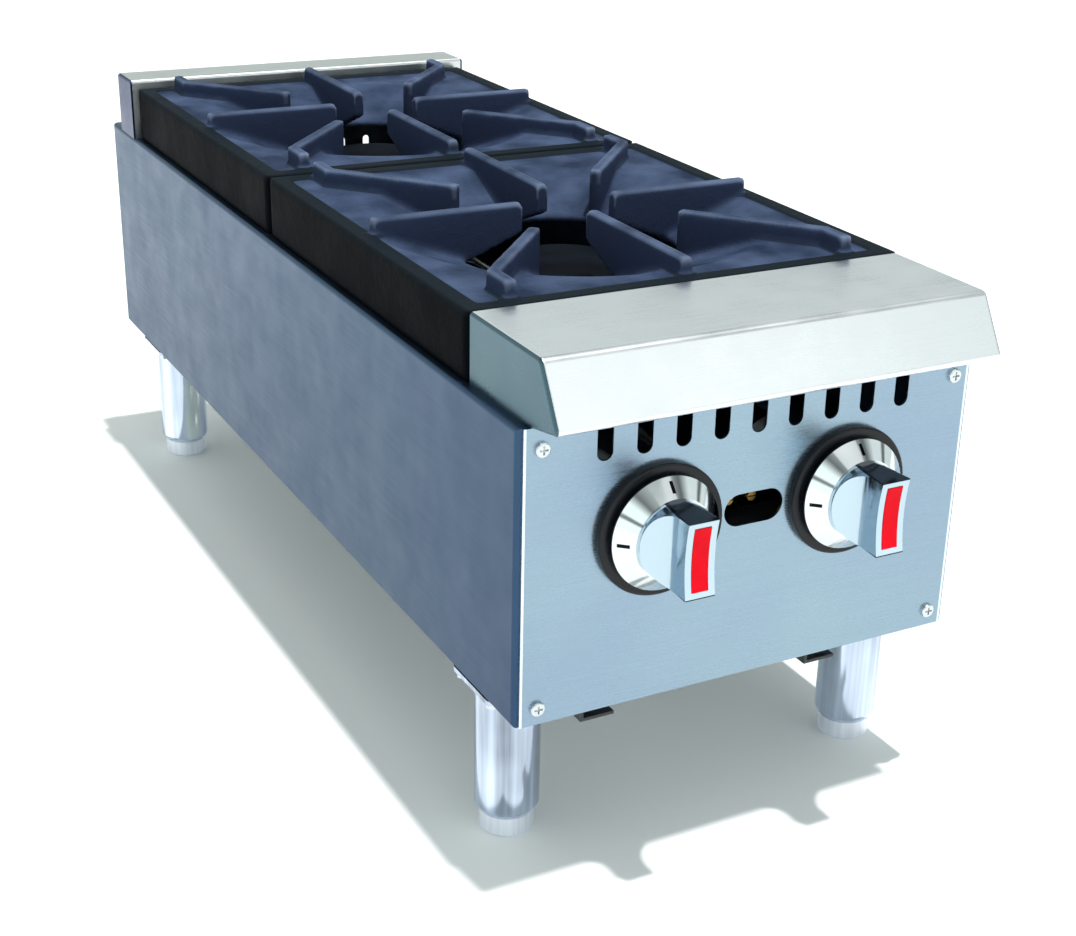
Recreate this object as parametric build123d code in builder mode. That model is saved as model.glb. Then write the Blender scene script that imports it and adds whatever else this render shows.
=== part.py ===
from build123d import *
import os

os.makedirs("parts", exist_ok=True)

# A two-burner gas hot plate, narrow and deep, that stands on a counter on four legs.
# Millimetres. X runs to the right, Y to the back and Z up from the counter.
# The origin is on the counter, under the middle of the outline from knob face to gas inlet.

# Driving sizes: the cast grates, the body's height, the legs and the sheet metal
grate_width = 295
grate_length = 323
skirt_height = 42
side_height = 181
leg_height = 105
sheet = 1.5
fold_radius = 3
seat_gap = 0.3
running_gap = 0.05

# Cooking top from front to back: ledge, two grates, riser
grate_margin = 5
grate_front = 73.5
grate_joint = 3
riser_gap = 1.5
riser_depth = 38
riser_setback = 30
riser_front = grate_front + 2 * grate_length + grate_joint + riser_gap
deck_height = side_height + skirt_height

# Body that carries it, and how far the knobs and the gas inlet reach past it
body_width = grate_width + 2 * grate_margin
body_depth = riser_front + riser_depth + riser_setback
knob_reach = 47
inlet_reach = 25
panel_y = knob_reach - (knob_reach + body_depth + inlet_reach) / 2


def behind(distance):
    """Y of a point that far behind the front panel's face."""
    return panel_y + distance


def above(height):
    """Z of a point that far above the body's underside."""
    return leg_height + height


def facing_front(distance):
    """Upright plane that far behind the front panel's face; it extrudes towards the front."""
    return Plane.XZ.offset(-behind(distance))


def level(height):
    """Level plane that far above the body's underside."""
    return Plane.XY.offset(above(height))


def keep(piece, name):
    """Label one finished piece and write it to its own file."""
    piece.label = name
    export_step(piece, f"parts/{name}.step")


# Burner centres, one under the middle of each grate
grate_pitch = grate_length + grate_joint
burner_places = [grate_front + grate_length / 2 + row * grate_pitch for row in range(2)]

# Controls on the front panel
knob_height = 108
knob_spread = 128
knob_places = {"left": -knob_spread / 2, "right": knob_spread / 2}
stem_radius = 4

# Screws that hold the front and rear panels to the side flanges
screw_radius = 2
screw_hole_radius = screw_radius + seat_gap
screw_head_radius = 4.5
screw_head_height = 2.4
screw_head_round = 1.6
screw_length = 10
screw_inset = 14.5
screw_heights = (10.5, 168)
screw_x = body_width / 2 - screw_inset
panel_screw_places = [(side * screw_x, above(height)) for side in (-1, 1) for height in screw_heights]

# Four legs on square plates under the corners of the body
leg_inset_x = 25.5
front_leg_inset = 58
rear_leg_inset = 77
leg_plate_size = 50
leg_plate_thickness = 3
leg_radius = 20
leg_wall = 1.6
foot_height = 17
foot_radius = 17
bolt_radius = 2.5
bolt_hole_radius = bolt_radius + seat_gap
bolt_spread = 39
bolt_head_radius = 4.5
bolt_head_height = 3.5
bolt_length = 12
leg_x = body_width / 2 - leg_inset_x
leg_places = {
    "front_left": (-leg_x, behind(front_leg_inset)),
    "front_right": (leg_x, behind(front_leg_inset)),
    "rear_left": (-leg_x, behind(body_depth - rear_leg_inset)),
    "rear_right": (leg_x, behind(body_depth - rear_leg_inset)),
}
bolt_places = [
    (x + side * bolt_spread / 2, y + end * bolt_spread / 2)
    for x, y in leg_places.values()
    for side in (-1, 1)
    for end in (-1, 1)
]

# Side panels: a wall with a flange turned inwards along each of its four edges
side_flange = 22


def side_panel(name, side):
    """Fold one side panel; side is -1 for the left and 1 for the right."""
    outer_plane = Plane.YZ.offset(side * body_width / 2)
    with BuildPart() as panel:
        with BuildSketch(outer_plane):
            with Locations((behind(body_depth / 2), above(side_height / 2))):
                Rectangle(body_depth - 2 * sheet, side_height)
        extrude(amount=-side * side_flange)
        outer, inner = (-1, 0) if side > 0 else (0, -1)
        fillet(panel.faces().sort_by(Axis.X)[outer].edges(), radius=fold_radius)
        offset(amount=-sheet, openings=panel.faces().sort_by(Axis.X)[inner])
        with BuildSketch(facing_front(0)):
            with Locations(*[place for place in panel_screw_places if place[0] * side > 0]):
                Circle(screw_hole_radius)
        extrude(amount=-body_depth, mode=Mode.SUBTRACT)
        with BuildSketch(level(0)):
            with Locations(*[place for place in bolt_places if place[0] * side > 0]):
                Circle(bolt_hole_radius)
        extrude(amount=2 * sheet, mode=Mode.SUBTRACT)
    keep(panel.part, name)


side_panel("left_side_panel", -1)
side_panel("right_side_panel", 1)

# Front panel: a sheet that laps over the side flanges, vented under the ledge
panel_setback = 0.5
panel_width = body_width - 2 * (fold_radius + panel_setback)
return_flange = 20
return_width = body_width - 2 * side_flange - 2 * seat_gap
vent_count = 9
vent_pitch = 24.9
vent_width = 10
vent_bottom = 154.5
vent_top = 177.5
port_width = 40
port_height = 20
stem_hole_radius = 7

with BuildPart() as front_panel:
    with BuildSketch(facing_front(0)):
        with Locations((0, above((side_height - seat_gap) / 2))):
            Rectangle(panel_width, side_height - seat_gap)
        with Locations((0, above((vent_top + vent_bottom) / 2))):
            with GridLocations(vent_pitch, 1, vent_count, 1):
                SlotOverall(vent_top - vent_bottom, vent_width, rotation=90, mode=Mode.SUBTRACT)
        with Locations((0, above(knob_height))):
            SlotOverall(port_width, port_height, mode=Mode.SUBTRACT)
        with Locations(*[(x, above(knob_height)) for x in knob_places.values()]):
            Circle(stem_hole_radius, mode=Mode.SUBTRACT)
        with Locations(*panel_screw_places):
            Circle(screw_hole_radius, mode=Mode.SUBTRACT)
    extrude(amount=-sheet)
    with BuildSketch(level(0)):
        with Locations((0, behind(return_flange / 2))):
            Rectangle(return_width, return_flange)
    extrude(amount=sheet)
keep(front_panel.part, "front_panel")

# Gas pipe that feeds both valves and runs back along the right side to the inlet
pipe_radius = 13.35
pipe_end_radius = 13.1
collar_thickness = 2
pipe_bore_radius = 10.5
pipe_height = 72
pipe_y = 42
pipe_left_x = 60.5 - body_width / 2
pipe_right_x = body_width / 2 - 38.5
pipe_bend_radius = 34

# Rear panel: vented, with the inlet's hole and a return flange that closes the top behind the riser
rear_return = 36
inlet_hole_radius = 17
louvre_count = 8
louvre_pitch = 24
louvre_length = 46
louvre_width = 6
louvre_height = 128

with BuildPart() as rear_panel:
    with BuildSketch(facing_front(body_depth)):
        with Locations((0, above(side_height / 2))):
            Rectangle(panel_width, side_height)
        with Locations((0, above(louvre_height))):
            with GridLocations(louvre_pitch, 1, louvre_count, 1):
                SlotOverall(louvre_length, louvre_width, rotation=90, mode=Mode.SUBTRACT)
        with Locations((pipe_right_x, above(pipe_height))):
            Circle(inlet_hole_radius, mode=Mode.SUBTRACT)
        with Locations(*panel_screw_places):
            Circle(screw_hole_radius, mode=Mode.SUBTRACT)
    extrude(amount=sheet)
    with BuildSketch(level(0)):
        with Locations((0, behind(body_depth - return_flange / 2))):
            Rectangle(return_width, return_flange)
    extrude(amount=sheet)
    with BuildSketch(level(side_height)):
        with Locations((0, behind(body_depth - rear_return / 2))):
            Rectangle(return_width, rear_return)
    extrude(amount=-sheet)
keep(rear_panel.part, "rear_panel")

# Rear riser: a folded upstand that shields the wall behind the grates
riser_rise = 7
riser_height = skirt_height + riser_rise

with BuildPart() as rear_riser:
    with BuildSketch(level(side_height)):
        with Locations((0, behind(riser_front + riser_depth / 2))):
            Rectangle(body_width, riser_depth)
    extrude(amount=riser_height)
    fillet(rear_riser.faces().sort_by(Axis.Z)[-1].edges(), radius=fold_radius)
    offset(amount=-sheet, openings=rear_riser.faces().sort_by(Axis.Z)[0])
keep(rear_riser.part, "rear_riser")

# Front ledge: a bullnose shelf with closed ends that leans out over the controls
ledge_setback = 1.5
ledge_width = grate_width - 2 * ledge_setback
ledge_gap = 1
ledge_depth = grate_front - ledge_gap
ledge_fold_reach = 11
nose_reach = 32
nose_drop = 36
ledge_fold_radius = 5
nose_radius = 3
ledge_end_radius = 2.5

with BuildPart() as front_ledge:
    with BuildSketch(Plane.YZ.offset(-ledge_width / 2)):
        with BuildLine():
            Polyline(
                (behind(0), above(side_height)),
                (behind(ledge_depth), above(side_height)),
                (behind(ledge_depth), above(deck_height)),
                (behind(-ledge_fold_reach), above(deck_height)),
                (behind(-nose_reach), above(deck_height - nose_drop)),
                close=True,
            )
        make_face()
    extrude(amount=ledge_width)
    long_edges = front_ledge.edges().filter_by(Axis.X)
    fillet(long_edges.sort_by(Axis.Z)[-2:].sort_by(Axis.Y)[0], radius=ledge_fold_radius)
    fillet(front_ledge.edges().filter_by(Axis.X).sort_by(Axis.Y)[0], radius=nose_radius)
    ledge_ends = front_ledge.faces().filter_by(Axis.X)
    fillet(ledge_ends.edges().group_by(Axis.Y)[0], radius=ledge_end_radius)
    ledge_bottom = front_ledge.faces().filter_by(Axis.Z).sort_by(Axis.Z)[0]
    ledge_back = front_ledge.faces().sort_by(Axis.Y)[-1]
    offset(amount=-sheet, openings=[ledge_bottom, ledge_back])
keep(front_ledge.part, "front_ledge")

# Bottom pan: closes the underside between the flanges, with its long edges lapped over them
pan_sheet = 1.2
pan_lap = 6
pan_half_width = body_width / 2 - side_flange - seat_gap
pan_start = return_flange + seat_gap
pan_length = body_depth - 2 * pan_start
pan_slot_count = 6
pan_slot_pitch = 90
pan_slot_length = 120
pan_slot_width = 10

with BuildPart() as bottom_pan:
    with BuildSketch(facing_front(pan_start)):
        with BuildLine():
            Polyline(
                (0, above(0)),
                (pan_half_width, above(0)),
                (pan_half_width, above(sheet)),
                (pan_half_width + pan_lap, above(sheet)),
                (pan_half_width + pan_lap, above(sheet + pan_sheet)),
                (pan_half_width - pan_sheet, above(sheet + pan_sheet)),
                (pan_half_width - pan_sheet, above(pan_sheet)),
                (0, above(pan_sheet)),
                close=True,
            )
        make_face()
        mirror(about=Plane.YZ)
    extrude(amount=-pan_length)
    with BuildSketch(level(0)):
        with Locations((0, behind(body_depth / 2))):
            with GridLocations(1, pan_slot_pitch, 1, pan_slot_count):
                SlotOverall(pan_slot_length, pan_slot_width)
        with Locations(*bolt_places):
            Circle(bolt_hole_radius)
    extrude(amount=2 * sheet + pan_sheet, mode=Mode.SUBTRACT)
keep(bottom_pan.part, "bottom_pan")

# Cross brackets: one under each burner, an upturned channel between the side walls
bracket_top = 150
bracket_depth = 16
bracket_length = 64
tube_radius = 16
tube_bore_radius = 13
bracket_hole_radius = tube_radius + 2


def burner_bracket(name, place):
    """Fold one cross bracket that carries the burner at the given place."""
    with BuildPart() as bracket:
        with BuildSketch(level(bracket_top)):
            with Locations((0, behind(place))):
                Rectangle(body_width - 2 * sheet, bracket_length)
        extrude(amount=-bracket_depth)
        offset(amount=-sheet, openings=bracket.faces().sort_by(Axis.Z)[0])
        with BuildSketch(level(bracket_top)):
            with Locations((0, behind(place))):
                Circle(bracket_hole_radius)
        extrude(amount=-2 * sheet, mode=Mode.SUBTRACT)
    keep(bracket.part, name)


# Burners: a cast bowl whose mixing tube bends forward to its valve's orifice
tube_start = 70
tube_shift = 76
tube_bend_radius = 28
tube_lip = 1
bowl_height = 28
bowl_radius = 46
bowl_foot_radius = 30
bowl_wall = 4
window_place = 76
window_length = 6
window_height = 12


def burner_body(name, place, valve_x):
    """Cast one burner bowl with its mixing tube, which starts behind the valve at valve_x."""
    seat = above(bracket_top)
    rim = seat + bowl_height
    with BuildPart() as body:
        with BuildLine() as route:
            FilletPolyline(
                (valve_x, behind(tube_start), above(knob_height)),
                (valve_x, behind(place - tube_shift), above(knob_height)),
                (0, behind(place), above(knob_height)),
                (0, behind(place), seat + bowl_wall + tube_lip),
                radius=tube_bend_radius,
            )
        with BuildSketch(facing_front(tube_start)):
            with Locations((valve_x, above(knob_height))):
                Circle(tube_radius)
                Circle(tube_bore_radius, mode=Mode.SUBTRACT)
        sweep()
        with BuildSketch(facing_front(place)):
            with BuildLine():
                Polyline(
                    (tube_radius - tube_lip, seat),
                    (bowl_foot_radius, seat),
                    (bowl_radius, seat + bowl_height / 2),
                    (bowl_radius, rim),
                    (bowl_radius - bowl_wall, rim),
                    (bowl_radius - bowl_wall, seat + bowl_height / 2),
                    (bowl_foot_radius - bowl_wall, seat + bowl_wall),
                    (tube_radius - tube_lip, seat + bowl_wall),
                    close=True,
                )
            make_face()
        revolve(axis=Axis((0, behind(place), 0), (0, 0, 1)))
        with BuildSketch(Plane.YZ.offset(valve_x)):
            with Locations((behind(window_place), above(knob_height))):
                Rectangle(window_length, window_height)
        extrude(amount=tube_radius, both=True, mode=Mode.SUBTRACT)
    keep(body.part, name)


# Burner caps: a ported lid that stands on the bowl's rim with a spigot inside it
cap_seat_depth = 6
cap_overhang = 2
cap_height = 12
cap_roof = 6
cap_crown = 4
cap_bevel = 7
spigot_wall = 3.5
port_count = 20
port_slot_width = 3
port_slot_height = 4


def burner_cap(name, place):
    """Turn one burner cap and cut its ring of flame ports."""
    rim = above(bracket_top + bowl_height)
    spigot_radius = bowl_radius - bowl_wall - seat_gap
    cap_radius = bowl_radius + cap_overhang
    with BuildPart() as cap:
        with BuildSketch(facing_front(place)):
            with BuildLine():
                Polyline(
                    (0, rim + cap_height),
                    (0, rim + cap_height - cap_roof),
                    (spigot_radius - spigot_wall, rim + cap_height - cap_roof),
                    (spigot_radius - spigot_wall, rim - cap_seat_depth),
                    (spigot_radius, rim - cap_seat_depth),
                    (spigot_radius, rim),
                    (cap_radius, rim),
                    (cap_radius, rim + cap_height - cap_crown),
                    (cap_radius - cap_bevel, rim + cap_height),
                    close=True,
                )
            make_face()
        revolve(axis=Axis((0, behind(place), 0), (0, 0, 1)))
        with BuildSketch(Plane.XY.offset(rim - cap_seat_depth)):
            with Locations((0, behind(place))):
                with PolarLocations(spigot_radius, port_count):
                    Rectangle(2 * (bowl_wall + spigot_wall), port_slot_width)
        extrude(amount=cap_seat_depth + port_slot_height, mode=Mode.SUBTRACT)
    keep(cap.part, name)


# Air shutters: a sleeve on each mixing tube's mouth that turns to open or close its windows
shutter_wall = 1.2
shutter_length = 16
shutter_reach = 5
shutter_slot_height = 7
hood_clearance_radius = 9


def air_shutter(name, valve_x):
    """Turn one air shutter round the tube mouth behind the valve at valve_x."""
    sleeve_radius = tube_radius + running_gap + shutter_wall
    with BuildPart() as shutter:
        with BuildSketch(facing_front(tube_start - shutter_reach)):
            with Locations((valve_x, above(knob_height))):
                Circle(sleeve_radius)
        extrude(amount=-shutter_length)
        with BuildSketch(facing_front(tube_start - shutter_reach + shutter_wall)):
            with Locations((valve_x, above(knob_height))):
                Circle(tube_radius + running_gap)
        extrude(amount=-shutter_length, mode=Mode.SUBTRACT)
        with BuildSketch(facing_front(tube_start - shutter_reach)):
            with Locations((valve_x, above(knob_height))):
                Circle(hood_clearance_radius)
                Rectangle(2 * tube_bore_radius, shutter_slot_height)
        extrude(amount=-shutter_wall, mode=Mode.SUBTRACT)
        with BuildSketch(Plane.YZ.offset(valve_x)):
            with Locations((behind(window_place), above(knob_height))):
                Rectangle(window_length, window_height)
        extrude(amount=sleeve_radius, both=True, mode=Mode.SUBTRACT)
    keep(shutter.part, name)


for row, side, place in (("front", "left", burner_places[0]), ("rear", "right", burner_places[1])):
    burner_bracket(f"{row}_burner_bracket", place)
    burner_body(f"{row}_burner_body", place, knob_places[side])
    burner_cap(f"{row}_burner_cap", place)
    air_shutter(f"{row}_air_shutter", knob_places[side])

# Cast grates: a skirted frame with a dished floor, four straight bars and four cranked ones
rim_width = 12
rim_thickness = 9
skirt_wall = 6
skirt_corner_radius = 5
rib_rise = 11
rib_thickness = 8
rib_round = 1.5
rib_end_inset = 10
rib_tip_radius = 34
rib_tip_depth = 20
dish_hole_radius = 76
dish_depth = 28
dish_thickness = 5
dish_shelf_radius = 133
crank_side = 115
crank_straight = 24
crank_tip_x = 52
crank_tip_y = 56


def grate(name, place):
    """Cast one grate over the burner at the given place."""
    centre_y = behind(place)
    deck = above(deck_height)
    half_bar_y = grate_length / 2 - rib_end_inset
    half_bar_x = grate_width / 2 - rib_end_inset
    reach = grate_width + grate_length
    middle = Locations((0, centre_y))
    shelf_top = deck - dish_thickness / 2
    shelf_bottom = shelf_top - dish_thickness
    with BuildPart() as bars:
        with BuildSketch(Plane.XY.offset(deck - dish_depth)):
            with middle:
                Rectangle(2 * half_bar_x, rib_thickness)
                Rectangle(rib_thickness, 2 * half_bar_y)
                Circle(rib_tip_radius, mode=Mode.SUBTRACT)
            for side in (-1, 1):
                for end in (-1, 1):
                    with BuildLine():
                        Polyline(
                            (side * crank_side, centre_y + end * half_bar_y),
                            (side * crank_side, centre_y + end * (half_bar_y - crank_straight)),
                            (side * crank_tip_x, centre_y + end * crank_tip_y),
                        )
                    trace(line_width=rib_thickness)
        extrude(amount=dish_depth + rib_rise)
        with BuildSketch(facing_front(place)):
            with BuildLine():
                Polyline(
                    (0, deck + rib_rise - rib_tip_depth),
                    (rib_tip_radius, deck + rib_rise - rib_tip_depth),
                    (dish_hole_radius, deck - dish_depth + dish_thickness / 2),
                    (dish_shelf_radius, shelf_top - dish_thickness / 2),
                    (reach, shelf_top - dish_thickness / 2),
                    (reach, deck - 2 * dish_depth),
                    (0, deck - 2 * dish_depth),
                    close=True,
                )
            make_face()
        revolve(axis=Axis((0, centre_y, 0), (0, 0, 1)), mode=Mode.SUBTRACT)
        bar_tops = bars.faces().filter_by(Axis.Z).group_by(Axis.Z)[-1]
        fillet(bar_tops.edges(), radius=rib_round)
    with BuildPart() as dish:
        with BuildSketch(facing_front(place)):
            with BuildLine():
                Polyline(
                    (dish_hole_radius, deck - dish_depth),
                    (dish_shelf_radius, shelf_bottom),
                    (reach, shelf_bottom),
                    (reach, shelf_top),
                    (dish_shelf_radius, shelf_top),
                    (dish_hole_radius, deck - dish_depth + dish_thickness),
                    close=True,
                )
            make_face()
        revolve(axis=Axis((0, centre_y, 0), (0, 0, 1)))
        with BuildSketch(Plane.XY.offset(deck - 2 * dish_depth)):
            with middle:
                Rectangle(grate_width - rim_width, grate_length - rim_width)
        extrude(amount=3 * dish_depth, mode=Mode.INTERSECT)
    with BuildPart() as casting:
        with BuildSketch(Plane.XY.offset(deck - skirt_height)):
            with middle:
                RectangleRounded(grate_width, grate_length, skirt_corner_radius)
                Rectangle(grate_width - 2 * skirt_wall, grate_length - 2 * skirt_wall, mode=Mode.SUBTRACT)
        extrude(amount=skirt_height)
        with BuildSketch(Plane.XY.offset(deck - rim_thickness)):
            with middle:
                Rectangle(grate_width - skirt_wall, grate_length - skirt_wall)
                Rectangle(grate_width - 2 * rim_width, grate_length - 2 * rim_width, mode=Mode.SUBTRACT)
        extrude(amount=rim_thickness)
        add(dish.part)
        add(bars.part)
    keep(casting.part, name)


for row, place in zip(("front", "rear"), burner_places):
    grate(f"{row}_grate", place)

# Manifold: one bent pipe, tapped for the valves, open at the inlet and plugged at the left
boss_radius = 10
boss_height = 88
nipple_radius = 5
nipple_depth = 7
neck_step = 1
root_lap = 1
pilot_boss_radius = 7
tapped_places = [(x, boss_radius) for x in knob_places.values()] + [(0, pilot_boss_radius)]

with BuildPart() as gas_manifold:
    with BuildLine():
        FilletPolyline(
            (pipe_left_x, behind(pipe_y), above(pipe_height)),
            (pipe_right_x, behind(pipe_y), above(pipe_height)),
            (pipe_right_x, behind(body_depth + inlet_reach), above(pipe_height)),
            radius=pipe_bend_radius,
        )
    with BuildSketch(Plane.YZ.offset(pipe_left_x)):
        with Locations((behind(pipe_y), above(pipe_height))):
            Circle(pipe_radius)
    sweep()
    for x, radius in tapped_places:
        with BuildSketch(level(pipe_height)):
            with Locations((x, behind(pipe_y))):
                Circle(radius)
        extrude(amount=boss_height - pipe_height)
        with BuildSketch(level(boss_height)):
            with Locations((x, behind(pipe_y))):
                Circle(nipple_radius + running_gap)
        extrude(amount=-nipple_depth - seat_gap, mode=Mode.SUBTRACT)
    with BuildSketch(facing_front(body_depth + inlet_reach)):
        with Locations((pipe_right_x, above(pipe_height))):
            Circle(2 * pipe_radius)
            Circle(pipe_end_radius, mode=Mode.SUBTRACT)
    extrude(amount=inlet_reach - collar_thickness, mode=Mode.SUBTRACT)
    with BuildSketch(facing_front(body_depth + inlet_reach)):
        with Locations((pipe_right_x, above(pipe_height))):
            Circle(pipe_bore_radius)
    extrude(amount=2 * inlet_reach, mode=Mode.SUBTRACT)
keep(gas_manifold.part, "gas_manifold")

plug_height = 9
plug_head_radius = 11

with BuildPart() as manifold_plug:
    with BuildSketch(Plane.YZ.offset(pipe_left_x)):
        with Locations((behind(pipe_y), above(pipe_height))):
            RegularPolygon(plug_head_radius, 6)
    extrude(amount=-plug_height)
keep(manifold_plug.part, "manifold_plug")

# Collar that closes the rear panel round the inlet, and a bracket that carries the left end
collar_size = 52

with BuildPart() as inlet_collar:
    with BuildSketch(facing_front(body_depth)):
        with Locations((pipe_right_x, above(pipe_height))):
            RectangleRounded(collar_size, collar_size, fold_radius)
            Circle(pipe_radius + running_gap, mode=Mode.SUBTRACT)
    extrude(amount=-collar_thickness)
keep(inlet_collar.part, "inlet_collar")

manifold_bracket_x = pipe_left_x + 10
manifold_bracket_width = 44
manifold_bracket_foot = 20
manifold_bracket_lip = 8
manifold_bracket_sheet = 3

with BuildPart() as manifold_bracket:
    with BuildSketch(facing_front(pipe_y + manifold_bracket_width / 2)):
        with BuildLine():
            Polyline(
                (manifold_bracket_x, above(pan_sheet)),
                (manifold_bracket_x + manifold_bracket_foot, above(pan_sheet)),
                (manifold_bracket_x + manifold_bracket_foot, above(pan_sheet) + manifold_bracket_sheet),
                (manifold_bracket_x + manifold_bracket_sheet, above(pan_sheet) + manifold_bracket_sheet),
                (manifold_bracket_x + manifold_bracket_sheet, above(pipe_height + pipe_radius + manifold_bracket_lip)),
                (manifold_bracket_x, above(pipe_height + pipe_radius + manifold_bracket_lip)),
                close=True,
            )
        make_face()
    extrude(amount=manifold_bracket_width)
    with BuildSketch(Plane.YZ.offset(manifold_bracket_x)):
        with Locations((behind(pipe_y), above(pipe_height))):
            Circle(pipe_radius + running_gap)
    extrude(amount=manifold_bracket_sheet, mode=Mode.SUBTRACT)
keep(manifold_bracket.part, "manifold_bracket")

# Valves: a brass body on the manifold, its bushing towards the knob and its outlet to the rear
valve_size = 26
bushing_radius = 9
bushing_reach = 18
outlet_radius = 7
outlet_reach = 4
stem_socket_depth = 22


def gas_valve(name, x):
    """Machine one valve body, bored for its stem."""
    valve_front = pipe_y - valve_size / 2
    valve_back = pipe_y + valve_size / 2
    with BuildPart() as valve:
        with BuildSketch(facing_front(valve_front)):
            with Locations((x, above(knob_height))):
                RectangleRounded(valve_size, valve_size, fold_radius)
        extrude(amount=-valve_size)
        with BuildSketch(facing_front(valve_front)):
            with Locations((x, above(knob_height))):
                Circle(bushing_radius)
        extrude(amount=bushing_reach)
        with BuildSketch(facing_front(valve_back)):
            with Locations((x, above(knob_height))):
                Circle(outlet_radius)
        extrude(amount=-outlet_reach)
        with BuildSketch(level(boss_height)):
            with Locations((x, behind(pipe_y))):
                Circle(boss_radius - neck_step)
        extrude(amount=knob_height - boss_height)
        with BuildSketch(level(boss_height - nipple_depth)):
            with Locations((x, behind(pipe_y))):
                Circle(nipple_radius)
        extrude(amount=nipple_depth + root_lap)
        with BuildSketch(facing_front(valve_front - bushing_reach)):
            with Locations((x, above(knob_height))):
                Circle(stem_radius + running_gap)
        extrude(amount=-stem_socket_depth, mode=Mode.SUBTRACT)
    keep(valve.part, name)


# Orifice hoods: a hexagon screwed to the valve's outlet, with a cone that aims into the tube
hood_hex_radius = 7.5
hood_length = 13
hood_tip_radius = 4
hood_tip_length = 5
hood_tip_taper = 12


def orifice_hood(name, x):
    """Machine one orifice hood behind the valve at x."""
    hood_start = pipe_y + valve_size / 2 + outlet_reach
    with BuildPart() as hood:
        with BuildSketch(facing_front(hood_start)):
            with Locations((x, above(knob_height))):
                RegularPolygon(hood_hex_radius, 6)
        extrude(amount=-hood_length)
        with BuildSketch(facing_front(hood_start + hood_length)):
            with Locations((x, above(knob_height))):
                Circle(hood_tip_radius)
        extrude(amount=-hood_tip_length, taper=hood_tip_taper)
    keep(hood.part, name)


# Knobs: bezel on the panel, and a dial, a grip and an inset strip that turn with the stem
bezel_radius = 40
bezel_thickness = 5
bezel_hole_radius = 10
bezel_round = 1.5
dial_radius = 34.5
dial_edge = 2
dial_rim = 1
dial_lip = 1
dial_gap = 1
dial_height = 12
dial_back = bezel_thickness + dial_gap
dial_front = dial_back + dial_height
dial_inner_radius = 18
hub_radius = 23.5
hub_edge = 2
grip_end_radius = 25
scoop_end = 37
bar_width = 19
bar_height = 46
bar_hollow = 2.5
hollow_radius = (bar_height ** 2 / 4 + bar_hollow ** 2) / (2 * bar_hollow)
strip_width = 10.5
strip_height = 38
strip_depth = 2.3
strip_proud = 0.4
stem_grip_length = 22
stem_end_gap = 1
flat_depth = 1.2


def knob_bezel(name, x):
    """Turn the dark ring that the knob turns in front of."""
    with BuildPart() as bezel:
        with BuildSketch(facing_front(0)):
            with Locations((x, above(knob_height))):
                Circle(bezel_radius)
                Circle(bezel_hole_radius, mode=Mode.SUBTRACT)
        extrude(amount=bezel_thickness)
        fillet(bezel.edges().group_by(Axis.Y)[0].sort_by(SortBy.LENGTH)[-1], radius=bezel_round)
    keep(bezel.part, name)


def knob_dial(name, x):
    """Turn the conical skirt that carries the marks."""
    back = behind(-dial_back)
    front = behind(-dial_front)
    axis_z = above(knob_height)
    with BuildPart() as dial:
        with BuildSketch(Plane.YZ.offset(x)):
            with BuildLine():
                Polyline(
                    (back, axis_z + dial_inner_radius),
                    (back, axis_z + dial_radius - dial_edge),
                    (back - dial_edge, axis_z + dial_radius),
                    (back - dial_edge - dial_rim, axis_z + dial_radius),
                    (front, axis_z + hub_radius + dial_lip),
                    (front, axis_z + dial_inner_radius),
                    close=True,
                )
            make_face()
        revolve(axis=Axis((x, 0, axis_z), (0, 1, 0)))
    keep(dial.part, name)


def knob_grip(name, x):
    """Mould the grip: a bar with a hollow face whose sides sweep out to a round foot."""
    axis_z = above(knob_height)
    half_bar = bar_width / 2
    face_y = behind(-knob_reach)
    foot_y = behind(-dial_front)
    with BuildPart() as grip:
        with BuildSketch(Plane((x, 0, axis_z - bar_height / 2))):
            with BuildLine():
                Polyline((0, foot_y), (0, face_y), (half_bar, face_y), (half_bar, behind(-scoop_end)))
                TangentArc((half_bar, behind(-scoop_end)), (hub_radius, foot_y - hub_edge), tangent=(0, 1))
                Polyline((hub_radius, foot_y - hub_edge), (hub_radius, foot_y), (0, foot_y))
            make_face()
            mirror(about=Plane.YZ)
        extrude(amount=bar_height)
        with BuildSketch(facing_front(-dial_front)):
            with Locations((x, axis_z)):
                Circle(hub_radius)
        with BuildSketch(facing_front(-knob_reach)):
            with Locations((x, axis_z)):
                Circle(grip_end_radius)
        loft(mode=Mode.INTERSECT)
        with BuildSketch(Plane.YZ.offset(x - bar_width)):
            with Locations((face_y + bar_hollow - hollow_radius, axis_z)):
                Circle(hollow_radius)
        extrude(amount=2 * bar_width, mode=Mode.SUBTRACT)
        with BuildSketch(facing_front(-dial_back)):
            with Locations((x, axis_z)):
                Circle(dial_inner_radius - running_gap)
        extrude(amount=dial_height)
        with BuildSketch(facing_front(-knob_reach)):
            with Locations((x, axis_z)):
                Rectangle(strip_width + 2 * running_gap, strip_height + 2 * running_gap)
        extrude(amount=-bar_hollow - strip_depth, mode=Mode.SUBTRACT)
        with BuildSketch(facing_front(-dial_back)):
            with Locations((x, axis_z)):
                Circle(stem_radius + running_gap)
            with Locations((x, axis_z + 2 * stem_radius - flat_depth + running_gap)):
                Rectangle(3 * stem_radius, 2 * stem_radius, mode=Mode.SUBTRACT)
        extrude(amount=stem_grip_length + stem_end_gap, mode=Mode.SUBTRACT)
    keep(grip.part, name)


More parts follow.
